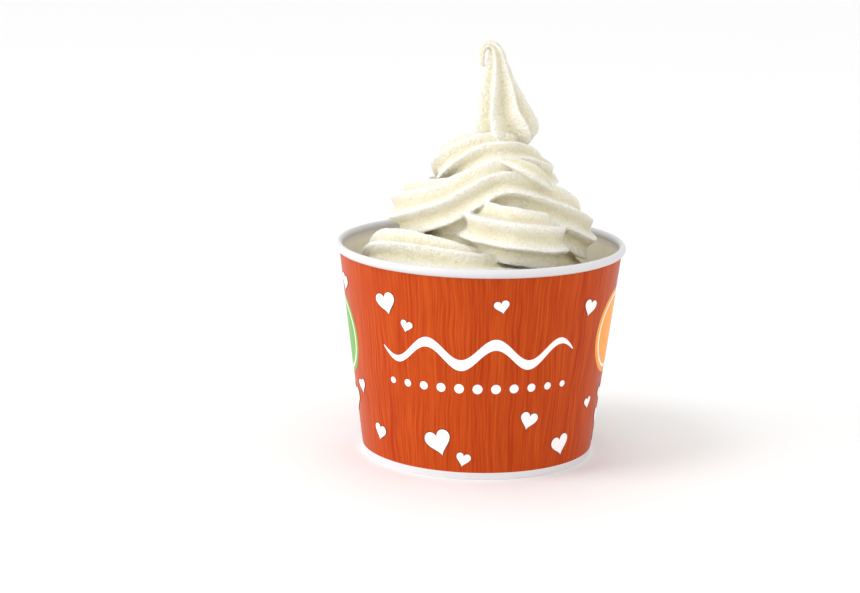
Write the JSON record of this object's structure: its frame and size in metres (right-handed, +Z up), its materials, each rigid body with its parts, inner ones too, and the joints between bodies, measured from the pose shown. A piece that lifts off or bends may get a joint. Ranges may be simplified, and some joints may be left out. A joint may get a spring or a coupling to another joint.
{
  "type": "frozen yogurt cup",
  "caption": "Tapered paper cup with a rolled rim, filled with plain frozen yogurt that is piped above the rim into a ridged swirl with a hooked peak.",
  "frame": {"origin": "centre of the cup's foot, on the surface that it stands on", "axes": "+Z up along the cup's axis; -Y towards the side that the picture shows; +X to its right"},
  "size_m": [0.114, 0.114, 0.1637],
  "materials": {
    "printed_paper": "coated paperboard, printed, satin",
    "plain_paper": "coated white paperboard, satin",
    "frozen_yogurt": "soft frozen dessert, matt with a fine icy grain"
  },
  "bodies": {
    "root": {"cup_wall": "printed_paper", "cup_base": "plain_paper", "yogurt_swirl": "frozen_yogurt"}
  },
  "joints": []
}
